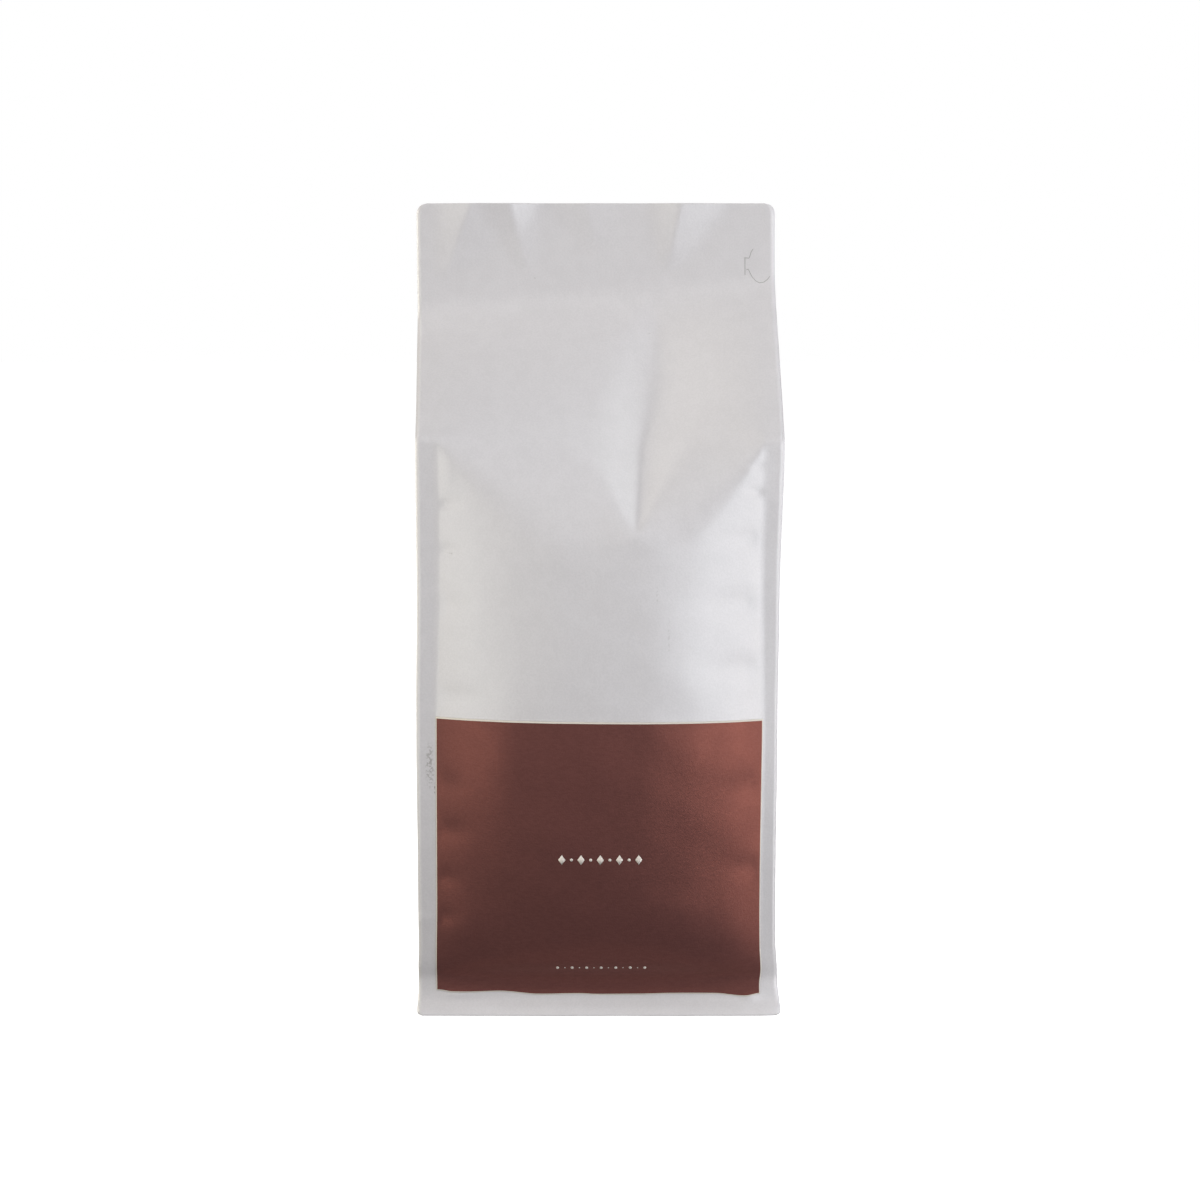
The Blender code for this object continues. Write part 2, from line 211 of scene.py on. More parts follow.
# Surfaces: linear colours, roughness, and the noise that varies them, with sizes in metres
GRAIN_RANGE = (0.35, 0.65)
BLOTCH_RANGE = (0.3, 0.7)
GRAIN_HEIGHT = 0.00004
FILM_COLOR = (0.605, 0.583, 0.594)
FILM_SHADE_SPREAD = 0.03
FILM_ROUGHNESS = 0.31
FILM_ROUGHNESS_SPREAD = 0.02
FILM_SPECULAR = 0.75
FILM_GRAIN_SIZE = 0.0007
FILM_GRAIN_SHARE = 0.7
FILM_BLOTCH_SIZE = 0.0060
FILM_CRUMPLE_SIZE = 0.0040
FILM_CRUMPLE_STRETCH = (1.0, 1.0, 1.6)
FILM_CRUMPLE_HEIGHT = 0.00003
PRINT_COLOR = (0.131, 0.055, 0.051)
PRINT_SHADE_SPREAD = 0.07
PRINT_ROUGHNESS = 0.32
PRINT_ROUGHNESS_SPREAD = 0.03
PRINT_METALLIC = 0.20
PRINT_SPECULAR = 0.63
PRINT_SPECULAR_TINT = (1.0, 0.26, 0.12)
PRINT_GRAIN_SIZE = 0.0006
PRINT_GRAIN_SHARE = 0.5
PRINT_BLOTCH_SIZE = 0.0060
PRINT_STREAK_SIZE = 0.0007
PRINT_STREAK_STRETCH = (0.25, 1.0, 1.0)
PRINT_STREAK_HEIGHT = 0.00002
PLAIN_SHADE_SPREAD = 0.05
PLAIN_GRAIN_SIZE = 0.0006
BORDER_COLOR = (0.62, 0.57, 0.50)
INK_COLOR = (0.72, 0.66, 0.60)
CREAM_ROUGHNESS = 0.5
CUT_COLOR = (0.33, 0.32, 0.31)
CUT_ROUGHNESS = 0.6

# Smudges and painted fold shade: x, z, reach along both, and strength. The broad patch on the left seal
# is a dirt smudge; the thin lines and small dots are painted shade in small folds and along the left seal
# root. Those on the body show only on the front panel
SMUDGE_AND_SHADE_COLOR = (0.20, 0.18, 0.16)
SMUDGE_AND_SHADE_SPECK_SIZE = 0.0011
SMUDGE_AND_SHADE_SPECK_RANGE = (0.46, 0.60)
SMUDGE_AND_SHADE_BODY_Y = -0.0469
SMUDGES_AND_FOLD_SHADE = [(-0.0668, 0.1005, 0.0022, 0.0110, 0.60), (-0.0650, 0.0915, 0.0003, 0.0032, 0.90),
           (-0.0642, 0.0600, 0.0003, 0.0022, 0.80), (0.0232, 0.1700, 0.0005, 0.0042, 0.25),
           (0.0278, 0.1530, 0.0005, 0.0100, 0.20), (-0.0580, 0.1855, 0.0020, 0.0005, 0.35),
           (-0.0255, 0.2940, 0.0006, 0.0006, 0.40), (0.0215, 0.2715, 0.0015, 0.0004, 0.25)]

# Pale floor, and the dark ring on it that shades the bag's foot: its turn runs anticlockwise from +x
FLOOR_SIZE = 30.0
FLOOR_COLOR = (0.9, 0.9, 0.9)
FLOOR_ROUGHNESS = 0.9
FLOOR_GLOW = 0.75
CARD_MIDDLE_X = -0.006
CARD_INNER_RADIUS = 0.088
CARD_OUTER_RADIUS = 0.42
CARD_TURN_DEGREES = (-25.0, 313.0)
CARD_POINTS = 64
CARD_LEVEL = -0.001
CARD_COLOR = (0.03, 0.03, 0.03)
CARD_ROUGHNESS = 0.8

# Light: name, azimuth from the front and elevation in degrees, width and height, radiance, colour
LIGHT_TARGET = (0.0, 0.0, 0.17)
LIGHT_DISTANCE = 2.0
SOFT_BOXES = [("soft_box_near_right", 28.0, -3.0, (0.60, 1.15), 2.20, (0.94, 1.0, 1.05)),
              ("soft_box_right", 42.0, -3.0, (0.70, 1.15), 2.80, (0.96, 1.0, 1.03)),
              ("soft_box_side_right", 58.0, -3.0, (0.70, 1.15), 2.80, (1.04, 1.0, 0.97)),
              ("soft_box_far_right", 83.0, 8.0, (0.80, 1.20), 2.80, (0.95, 1.0, 1.08)),
              ("soft_box_left", -42.0, -4.0, (0.70, 1.15), 2.20, (0.97, 1.0, 0.96)),
              ("soft_box_far_left", -83.0, 8.0, (0.80, 1.20), 8.60, (1.04, 1.0, 0.86)),
              ("soft_box_front", -6.0, 36.0, (1.10, 0.50), 0.50, (1.0, 1.0, 0.96)),
              ("soft_box_high_right", 38.0, 30.0, (0.90, 0.70), 3.20, (1.03, 1.0, 1.04)),
              ("soft_box_top_right", 62.0, 56.0, (1.00, 0.80), 1.80, (0.92, 1.0, 0.96)),
              ("soft_box_top_left", -70.0, 58.0, (1.00, 0.80), 1.60, (1.03, 1.0, 1.0)),
              ("soft_box_back_right", 138.0, 8.0, (0.80, 1.10), 5.50, (1.0, 1.0, 1.0)),
              ("soft_box_back_left", -130.0, 8.0, (0.80, 1.10), 4.50, (1.0, 1.0, 1.0))]
AMBIENT = 0.335


# Small mathematics

def smooth_step(low, high, value):
    """Rises from 0 at low to 1 at high, level at both ends."""
    t = np.clip((value - low) / (high - low), 0.0, 1.0)
    return t * t * (3.0 - 2.0 * t)


def smooth_min(a, b, radius):
    """The lower of two surfaces, with the edge between them rounded."""
    share = np.clip(0.5 + 0.5 * (b - a) / radius, 0.0, 1.0)
    return b * (1.0 - share) + a * share - radius * share * (1.0 - share)


def smooth_max(a, b, radius):
    """The higher of two surfaces, with the edge between them rounded."""
    return -smooth_min(-a, -b, radius)


def soft_abs(value, softness):
    """The distance from zero, rounded near zero and exact at 1."""
    return (np.sqrt(value * value + softness * softness) - softness) / (
        np.sqrt(1.0 + softness * softness) - softness)


def curve(keys, level):
    """A smooth curve through pairs of level and value, which never swings past them."""
    at = np.array([key[0] for key in keys])
    value = np.array([key[1] for key in keys])
    step = np.diff(at)
    slope = np.diff(value) / step
    turns = slope[:-1] * slope[1:] <= 0.0
    total = np.where(turns, 1.0, slope[:-1] + slope[1:])
    inner = np.where(turns, 0.0, 2.0 * slope[:-1] * slope[1:] / total)
    tangent = np.concatenate(([slope[0]], inner, [slope[-1]]))
    level = np.clip(level, at[0], at[-1])
    i = np.clip(np.searchsorted(at, level) - 1, 0, len(step) - 1)
    t = (level - at[i]) / step[i]
    rise = t * t * (3.0 - 2.0 * t)
    return (value[i] * (1.0 - rise) + value[i + 1] * rise
            + step[i] * t * (1.0 - t) * ((1.0 - t) * tangent[i] - t * tangent[i + 1]))


# The pouch's form

def half_width(level):
    """Half of the width over the edge seals, with the rounded corners at the top and the foot."""
    width = curve(HALF_WIDTH, level)
    above = np.clip(level - (HEIGHT - TOP_CORNER_RADIUS), 0.0, TOP_CORNER_RADIUS)
    below = np.clip(FOOT_CORNER_RADIUS - level, 0.0, FOOT_CORNER_RADIUS)
    width = width - TOP_CORNER_RADIUS + np.sqrt(TOP_CORNER_RADIUS ** 2 - above ** 2)
    return width - FOOT_CORNER_RADIUS + np.sqrt(FOOT_CORNER_RADIUS ** 2 - below ** 2)


def panel_span(level):
    """The middle of a panel between its two seals, and half of its width."""
    left, right = curve(LEFT_SEAL_ROOT, level), curve(RIGHT_SEAL_ROOT, level)
    return 0.5 * (right - left), 0.5 * (right + left)


def slant(x, level):
    """How far a point of the film lies above its level, as the folds run at a slight slant."""
    return curve(SLANT, level) * x / curve(HALF_WIDTH, level)


def sway(x, level):
    """The buckles of the flat top, as a shift of the whole thickness towards the front."""
    shift = 0.0
    for top_x, tip_x, tip_level, slope, left_width, right_width in BUCKLES:
        up = np.clip((level - tip_level) / (HEIGHT - tip_level), 0.0, 1.0)
        ridge = tip_x + (top_x - tip_x) * up
        top_width = np.where(x < ridge, left_width, right_width)
        width = BUCKLE_TIP_WIDTH + top_width * up ** BUCKLE_SPREAD_POWER
        fall = smooth_max(1.0 - abs(x - ridge) / width, 0.0, BUCKLE_LIP)
        shift = shift + slope * right_width * up * fall
    return shift


def shoulder_line(level):
    """Depth of the edge seals on the tapered shoulder."""
    rise = (curve(SEAL_DEPTH, SHOULDER_LEVEL) - TOP_HALF_DEPTH) / (CLOSE_LEVEL - SHOULDER_LEVEL)
    return TOP_HALF_DEPTH + (CLOSE_LEVEL - level) * rise


def valley_share(x, level, valley):
    """The way from the valley's rounded crease, at 0, to the edge seal of the same side, at 1."""
    crease = curve(valley["crease"], level)
    middle, inner = panel_span(level)
    reach = np.where(x < crease, inner + crease - middle, inner - crease + middle)
    softness = VALLEY_SOFTNESS + curve(TRENCH_FLOOR, level) / reach
    return soft_abs(np.clip(abs(x - crease) / reach, 0.0, 1.0), softness)


def trench(x, level, valley):
    """The sharper fold along the crease, as a depth to take off."""
    away = x - curve(valley["crease"], level)
    floor = curve(TRENCH_FLOOR, level)
    width = curve(TRENCH_WIDTH, level)
    stretch = np.where(away < 0.0, 1.0, TRENCH_RIGHT_STRETCH)
    from_floor = np.sqrt(away * away + floor * floor) - floor
    wall = 1.0 - from_floor / np.maximum(stretch * width, 1e-6)
    return TRENCH_SLOPE * width * smooth_max(wall, 0.0, TRENCH_LIP)


def shoulder_depth(x, level, valley):
    """Depth of the tapered shoulder: two slopes that meet in the valley."""
    run = (VALLEY_TOP_LEVEL - level) / (VALLEY_TOP_LEVEL - valley["tip_level"])
    bottom = TOP_HALF_DEPTH + (valley["tip_depth"] - TOP_HALF_DEPTH) * run
    share = 1.0 - (1.0 - valley_share(x, level, valley)) ** VALLEY_POWER
    return bottom + (shoulder_line(level) - bottom) * share - trench(x, level, valley)


def pinches(x, level):
    """The short horizontal folds that the edge seals draw into the panels."""
    middle, inner = panel_span(level)
    taken = 0.0
    for side, at, length, half_height, depth in PINCHES:
        inward = inner - side * (x - middle)
        peak = PINCH_PEAK * length
        along = smooth_step(0.0, peak, inward) * (1.0 - smooth_step(peak, length, inward))
        taken = taken + depth * along * np.exp(-((level - at) / half_height) ** 2)
    return taken


def bumps(x, level):
    """Small separate bumps and dents of the film."""
    total = 0.0
    for at_x, at_level, half_width_x, half_height, height in BUMPS:
        total = total + height * np.exp(-((x - at_x) / half_width_x) ** 2
                                        - ((level - at_level) / half_height) ** 2)
    return total


def ripples(x, level):
    """Slow, shallow waves in random directions, the same on each run."""
    draw = np.random.default_rng(RIPPLE_SEED)
    total = 0.0
    for _ in range(RIPPLE_COUNT):
        turn, phase = draw.uniform(0.0, 2.0 * math.pi, 2)
        length = RIPPLE_LENGTH * draw.uniform(*RIPPLE_LENGTH_RANGE)
        along = x * math.cos(turn) + level * math.sin(turn)
        total = total + np.sin(2.0 * math.pi * along / length + phase)
    return RIPPLE_HEIGHT * total


def panel_depth(x, level, valley):
    """Distance of a panel's outer face from the middle plane, at x from the panel's own middle."""
    middle, inner = panel_span(level)
    across = np.clip(abs(x - middle) / inner, 0.0, 1.0)
    inside = 1.0 - across ** curve(CROWN_POWER, level)
    relief = bumps(x, level) + ripples(x, level) * inside - pinches(x, level)
    relief = relief - curve(RIGHT_SEAL_LEAN, level) * np.maximum(x - middle - inner, 0.0)
    body = curve(SEAL_DEPTH, level) + curve(CROWN, level) * inside + relief
    share = valley_share(x, level, valley)
    rounding = SHOULDER_ROUNDING + SHOULDER_SOFT_ROUNDING * 4.0 * share * (1.0 - share)
    filled = smooth_min(body, shoulder_depth(x, level, valley), rounding)
    return smooth_max(filled, TOP_HALF_DEPTH, CLOSE_ROUNDING)


def gusset_reach(across, level, half_gap):
    """How far a side panel stands out past the root of the seals; below zero where it folds in."""
    bulge = curve(GUSSET_BULGE, level) * (1.0 - across * across)
    tuck = np.sqrt(np.maximum(GUSSET_HALF ** 2 - half_gap ** 2, 0.0))
    fold = -tuck * (1.0 - soft_abs(across, FOLD_SOFTNESS))
    share = smooth_step(FOLD_START_LEVEL, FOLD_FULL_LEVEL, level)
    return bulge * (1.0 - share) + fold * share


# Lines of points. Levels run down a column, so each array has one row for each level

def spaced_levels():
    """All levels from the foot to the top edge, closer together where the shape turns."""
    found = [0.0]
    for low, high, count in LEVEL_SPANS:
        found.extend(np.linspace(low, high, count + 1)[1:])
    return np.array(found)[:, None]


def panel_lines(level, valley):
    """Points of a panel at each level, seal to seal: x from the middle, and depth."""
    width = half_width(level)
    middle, inner = panel_span(level)
    seal = np.linspace(0.0, 1.0, FIN_SEGMENTS + 1)[1:]
    left = middle - inner + (inner - middle - width) * seal[::-1]
    right = middle + inner + (width - middle - inner) * seal
    panel = middle + np.linspace(-1.0, 1.0, PANEL_SEGMENTS + 1) * inner
    x = np.concatenate((left, panel, right), axis=1)
    return x, panel_depth(x, level, valley)


def side_lines(level, sign):
    """Points of one side at each level, front to back: x from the middle, and y."""
    width = half_width(level)
    front = panel_depth(sign * width, level, FRONT_VALLEY)
    back = panel_depth(sign * width, level, BACK_VALLEY)
    film = np.minimum(FIN_THICKNESS, PRESSED_FILM_SHARE * np.minimum(front, back))
    half_gap = 0.5 * (front + back) - film
    opened = smooth_step(SLOT_SHUT, SLOT_OPEN, half_gap)
    middle, inner = panel_span(level)
    root = width - (width - inner - sign * middle) * opened
    across = np.linspace(-1.0, 1.0, GUSSET_SEGMENTS + 1)
    x = root + opened * gusset_reach(across, level, half_gap)
    y = 0.5 * (back - front) + across * half_gap
    seal_x = width + (root - width) * np.linspace(0.0, 1.0, FIN_SEGMENTS + 1)[:-1]
    seal_y = np.ones(FIN_SEGMENTS)
    x = np.concatenate((seal_x, x, seal_x[:, ::-1]), axis=1)
    y = np.concatenate((seal_y * y[:, :1], y, seal_y * y[:, -1:]), axis=1)
    return sign * x, y


def ring_points(level):
    """The closed ring of points at each level, anticlockwise seen from above."""
    front_x, front_depth = panel_lines(level, FRONT_VALLEY)
    back_x, back_depth = panel_lines(level, BACK_VALLEY)
    right_x, right_y = side_lines(level, 1.0)
    left_x, left_y = side_lines(level, -1.0)
    x = np.concatenate((front_x, right_x, back_x[:, ::-1], left_x[:, ::-1]), axis=1)
    y = np.concatenate((-front_depth, right_y, back_depth[:, ::-1], left_y[:, ::-1]), axis=1)
    z = level + slant(x, level)
    return np.stack((x + curve(DRIFT, level), y - sway(x, level), z), axis=2)


# Meshes

class Sheet:
    """Collects points and faces, and turns them into an object."""

    def __init__(self):
        self.points = []
        self.faces = []
        self.slots = []

    def add_points(self, points):
        """Adds points and returns their numbers, in the shape of the array they came in."""
        points = np.asarray(points, dtype=float)
        start = len(self.points)
        self.points.extend(points.reshape(-1, 3).tolist())
        return np.arange(start, len(self.points)).reshape(points.shape[:-1])

    def add_grid(self, numbers, slot=0):
        """Fills a grid of point numbers with four-sided faces."""
        a, b = numbers[:-1, :-1].ravel(), numbers[:-1, 1:].ravel()
        c, d = numbers[1:, 1:].ravel(), numbers[1:, :-1].ravel()
        self.faces.extend(np.stack((a, b, c, d), axis=1).tolist())
        self.slots.extend([slot] * len(a))

    def add_fan(self, middle, rim):
        """Fills a fan of triangles from one point to a line of points."""
        for first, second in zip(rim, rim[1:]):
            self.faces.append([int(middle), int(first), int(second)])
            self.slots.append(0)

    def make(self, name, materials):
        """The finished object, smooth-shaded, with its faces pointing out."""
        data = bpy.data.meshes.new(name)
        data.from_pydata(self.points, [], self.faces)
        for material in materials:
            data.materials.append(material)
        data.polygons.foreach_set("material_index", self.slots)
        data.shade_smooth()
        item = bpy.data.objects.new(name, data)
        bpy.context.scene.collection.objects.link(item)
        bpy.context.view_layer.objects.active = item
        item.select_set(True)
        bpy.ops.object.mode_set(mode="EDIT")
        bpy.ops.mesh.select_all(action="SELECT")
        bpy.ops.mesh.normals_make_consistent(inside=False)
        bpy.ops.object.mode_set(mode="OBJECT")
        item.select_set(False)
        return item


def ring_sides(numbers):
    """Splits a ring into its front and back, left to right, and its right and left, front to back."""
    panel = PANEL_SEGMENTS + 1 + 2 * FIN_SEGMENTS
    side = GUSSET_SEGMENTS + 1 + 2 * FIN_SEGMENTS
    front = numbers[:panel]
    right = numbers[panel:panel + side]
    back = numbers[panel + side:2 * panel + side][::-1]
    left = numbers[2 * panel + side:][::-1]
    return front, back, right, left


def add_base(sheet, foot):
    """Closes the bottom: the four edge seals, and a grid of rows from side to side."""
    front, back, right, left = ring_sides(foot)
    edge = FIN_SEGMENTS + 1
    for near, far in ((front, left), (front[::-1], right), (back, left[::-1]), (back[::-1], right[::-1])):
        sheet.add_grid(np.stack((near[:edge], far[:edge])))
    inside = slice(FIN_SEGMENTS, -FIN_SEGMENTS)
    start = np.array(sheet.points)[left[inside]][:, None, :]
    end = np.array(sheet.points)[right[inside]][:, None, :]
    place = np.linspace(-1.0, 1.0, PANEL_SEGMENTS + 1)[None, 1:-1, None]
    points = 0.5 * (start + end) + 0.5 * (end - start) * place
    half_span = 0.5 * (end[..., 0] - start[..., 0])
    edge_distance = np.minimum(half_span * (1.0 - abs(place[..., 0])), GUSSET_HALF - abs(points[..., 1]))
    share = np.clip(edge_distance / GROOVE_WIDTH, 0.0, 1.0)
    points[..., 2] = GROOVE_DEPTH * (4.0 * share * (1.0 - share)) ** 2
    middle = sheet.add_points(points)
    rows = np.concatenate((left[inside][:, None], middle, right[inside][:, None]), axis=1)
    sheet.add_grid(np.concatenate((front[inside][None], rows, back[inside][None])))


def add_top(sheet, rim):
    """Closes the thin top edge with a strip from front to back, and a fan at each end."""
    front, back, right, left = ring_sides(rim)
    sheet.add_grid(np.stack((front[1:-1], back[1:-1])))
    sheet.add_fan(front[-2], [front[-1], *right, back[-1], back[-2]])
    sheet.add_fan(front[1], [front[0], *left, back[0], back[1]])


def make_pouch(film):
    """The whole filled pouch, as one closed skin."""
    sheet = Sheet()
    numbers = sheet.add_points(ring_points(spaced_levels()))
    sheet.add_grid(np.concatenate((numbers, numbers[:, :1]), axis=1))
    add_base(sheet, numbers[0])
    add_top(sheet, numbers[-1])
    return sheet.make("pouch_film", [film])


def label_point(x, level, lift=0.0):
    """A place on the label's outer face, or a little in front of it."""
    depth = panel_depth(x, level, FRONT_VALLEY) + LABEL_GAP + LABEL_THICKNESS + lift
    return np.stack(np.broadcast_arrays(x + curve(DRIFT, level), -depth, level), axis=-1)


def make_label(printed, border):
    """The label: a thin closed sheet that follows the front panel between its seals."""
    middle, inner = panel_span(np.array([[LABEL_HIGH_LEVEL]]))
    edge = LABEL_EDGE / inner[0, 0]
    across = np.concatenate(([-1.0], np.linspace(-1.0 + edge, 1.0 - edge, PANEL_SEGMENTS + 1), [1.0]))
    foot = curve(LABEL_FOOT, middle[0, 0] + across * inner[0, 0])[None, :]
    head = curve(LABEL_HEAD, middle[0, 0] + across * inner[0, 0])[None, :]
    up = np.linspace(0.0, 1.0, LABEL_ROWS + 1)[:, None]
    level = foot + LABEL_EDGE + (head - LABEL_TOP_BORDER - LABEL_EDGE - foot) * up
    level = np.concatenate((foot, level, head))
    middle, inner = panel_span(level)
    x = middle + across * inner
    sheet = Sheet()
    outer = sheet.add_points(label_point(x, level))
    under = sheet.add_points(label_point(x, level, -LABEL_THICKNESS))
    sheet.add_grid(outer[1:-1, 1:-1])
    for strip in (outer[:2], outer[-2:], outer[1:-1, :2], outer[1:-1, -2:]):
        sheet.add_grid(strip, 1)
    sheet.add_grid(under)
    for pick in (np.s_[0, :], np.s_[-1, :], np.s_[:, 0], np.s_[:, -1]):
        sheet.add_grid(np.stack((outer[pick], under[pick])), 1)
    return sheet.make("label_sheet", [printed, border])


def add_line(sheet, path, width, height, place):
    """A thin closed strip of one width along a path of x and level, laid on a surface."""
    path = np.array(path, dtype=float)
    run = np.gradient(path, axis=0)
    run = run / np.linalg.norm(run, axis=1)[:, None]
    side = 0.5 * width * np.stack((-run[:, 1], run[:, 0]), axis=1)
    corners = []
    for offset, lift in ((-side, 0.0), (-side, height), (side, height), (side, 0.0)):
        line = path + offset
        corners.append(place(line[:, 0], line[:, 1], lift))
    numbers = sheet.add_points(np.stack(corners, axis=1))
    sheet.add_grid(np.concatenate((numbers, numbers[:, :1]), axis=1))
    for end in (numbers[0], numbers[-1]):
        sheet.add_grid(np.array([[end[0], end[1]], [end[3], end[2]]]))


def add_mark(sheet, middle_x, middle_level, half_width, half_height, count):
    """A thin closed patch on the label: a diamond with four corners, or a dot with many."""
    turn = np.linspace(0.0, 2.0 * math.pi, count, endpoint=False)
    x = middle_x + half_width * np.append(np.cos(turn), 0.0)
    level = middle_level + half_height * np.append(np.sin(turn), 0.0)
    rims = []
    for lift in (0.0, MARK_HEIGHT):
        numbers = sheet.add_points(label_point(x, level, lift))
        rim = np.append(numbers[:-1], numbers[0])
        sheet.add_fan(numbers[-1], rim)
        rims.append(rim)
    sheet.add_grid(np.stack(rims))


def make_marks(ink):
    """Two rows of small generic marks: diamonds and dots in turn, and below them a row of dots."""
    sheet = Sheet()
    for i in range(DIAMOND_COUNT):
        x = MARKS_MIDDLE + (i - 0.5 * (DIAMOND_COUNT - 1)) * DIAMOND_SPACING
        if i % 2 == 0:
            add_mark(sheet, x, DIAMOND_ROW_LEVEL, DIAMOND_HALF_WIDTH, DIAMOND_HALF_HEIGHT, 4)
        else:
            add_mark(sheet, x, DIAMOND_ROW_LEVEL, DOT_HALF_SIZE, DOT_HALF_SIZE, DOT_POINTS)
    for i in range(DOT_COUNT):
        x = MARKS_MIDDLE + (i - 0.5 * (DOT_COUNT - 1)) * DOT_SPACING
        size = DOT_HALF_SIZE * (1.0 if i % 2 == 0 else SMALL_MARK_SHARE)
        add_mark(sheet, x, DOT_ROW_LEVEL, size, size, DOT_POINTS)
    return sheet.make("label_marks", [ink])


def top_point(x, height, lift=0.0):
    """A place on the front of the flat top, or a little in front of it."""
    along = x - DRIFT[-1][1]
    level = height
    for _ in range(LEVEL_ROUNDS):
        level = height - slant(along, level)
    depth = panel_depth(along[:, None], level[:, None], FRONT_VALLEY)[:, 0] + sway(along, level)
    return np.stack((along + curve(DRIFT, level), -depth - lift, height), axis=-1)


def make_tear_tab(shade):
    """The thin dark cut lines of the tear tab at the upper right."""
    sheet = Sheet()
    for path in (TEAR_SLIT, TEAR_UPPER_HOOK, TEAR_LOWER_HOOK):
        path = MM * np.array(path)
        step = np.linspace(0.0, len(path) - 1.0, TEAR_STEPS * len(path))
        fine = np.stack([np.interp(step, np.arange(len(path)), path[:, k]) for k in (0, 1)], axis=1)
        add_line(sheet, fine, TEAR_LINE, TEAR_HEIGHT, top_point)
    return sheet.make("tear_tab_cut", [shade])


# Materials

def shades(color, spread):
    """A colour's darker and lighter shade, with their alpha."""
    return [(*(share * c for c in color), 1.0) for share in (1.0 - spread, 1.0 + spread)]


class Surface:
    """A procedural material under construction: a Principled BSDF and the nodes that feed it."""

    def __init__(self, name, color, roughness):
        self.material = bpy.data.materials.new(name)
        self.material.use_nodes = True
        self.tree = self.material.node_tree
        self.shader = self.tree.nodes["Principled BSDF"]
        self.shader.inputs["Base Color"].default_value = (*color, 1.0)
        self.shader.inputs["Roughness"].default_value = roughness
        self.place = self.tree.nodes.new("ShaderNodeTexCoord").outputs["Object"]

    def feed(self, socket, value):
        """Links a node's output to a socket, or sets the socket to a constant."""
        if isinstance(value, bpy.types.NodeSocket):
            self.tree.links.new(value, socket)
        else:
            socket.default_value = value

    def noise(self, size, detail=2.0, stretch=(1.0, 1.0, 1.0)):
        """Noise whose blotches are about the given size in metres."""
        mapping = self.tree.nodes.new("ShaderNodeMapping")
        mapping.inputs["Scale"].default_value = stretch
        self.tree.links.new(self.place, mapping.inputs["Vector"])
        node = self.tree.nodes.new("ShaderNodeTexNoise")
        node.inputs["Scale"].default_value = 1.0 / size
        node.inputs["Detail"].default_value = detail
        self.tree.links.new(mapping.outputs["Vector"], node.inputs["Vector"])
        return node.outputs["Fac"]

    def math(self, operation, first, second=0.0):
        """One step of arithmetic."""
        node = self.tree.nodes.new("ShaderNodeMath")
        node.operation = operation
        self.feed(node.inputs[0], first)
        self.feed(node.inputs[1], second)
        return node.outputs[0]

    def spread(self, value, low, high, low_result, high_result):
        """Carries a range of values over to another, clamped at both ends."""
        node = self.tree.nodes.new("ShaderNodeMapRange")
        node.interpolation_type = "SMOOTHSTEP"
        for socket, number in zip(list(node.inputs)[1:5], (low, high, low_result, high_result)):
            socket.default_value = number
        self.tree.links.new(value, node.inputs["Value"])
        return node.outputs["Result"]

    def weave(self, first, second, first_share):
        """Two noises added by their shares, as a number from 0 to 1."""
        total = self.math("ADD", self.math("MULTIPLY", first, first_share),
                          self.math("MULTIPLY", second, 1.0 - first_share))
        return self.spread(total, *GRAIN_RANGE, 0.0, 1.0)

    def vary_roughness(self, blotches, middle, reach):
        """Lets the roughness follow a noise, by a reach to either side of the middle."""
        value = self.spread(blotches, *BLOTCH_RANGE, middle - reach, middle + reach)
        self.feed(self.shader.inputs["Roughness"], value)

    def blend(self, share, first, second):
        """Mixes two colours."""
        node = self.tree.nodes.new("ShaderNodeMix")
        node.data_type = "RGBA"
        self.feed(node.inputs["Factor"], share)
        for socket, color in ((node.inputs["A"], first), (node.inputs["B"], second)):
            self.feed(socket, color)
        return node.outputs["Result"]

    def bump(self, height, distance):
        """Adds fine relief to the shading, over what is there already."""
        node = self.tree.nodes.new("ShaderNodeBump")
        node.inputs["Strength"].default_value = 1.0
        node.inputs["Distance"].default_value = distance
        self.tree.links.new(height, node.inputs["Height"])
        normal = self.shader.inputs["Normal"]
        if normal.is_linked:
            self.tree.links.new(normal.links[0].from_socket, node.inputs["Normal"])
        self.tree.links.new(node.outputs["Normal"], normal)

    def spot(self, middle, reach, behind):
        """A soft spot in front of a y: 1 at the middle, 0 from the reach on, both given as x and z."""
        split = self.tree.nodes.new("ShaderNodeSeparateXYZ")
        self.tree.links.new(self.place, split.inputs["Vector"])
        total = None
        for axis, at, size in (("X", middle[0], reach[0]), ("Z", middle[1], reach[1])):
            away = self.math("DIVIDE", self.math("SUBTRACT", split.outputs[axis], at), size)
            square = self.math("MULTIPLY", away, away)
            total = square if total is None else self.math("ADD", total, square)
        inside = self.spread(total, 0.0, 1.0, 1.0, 0.0)
        return self.math("MULTIPLY", inside, self.math("LESS_THAN", split.outputs["Y"], behind))


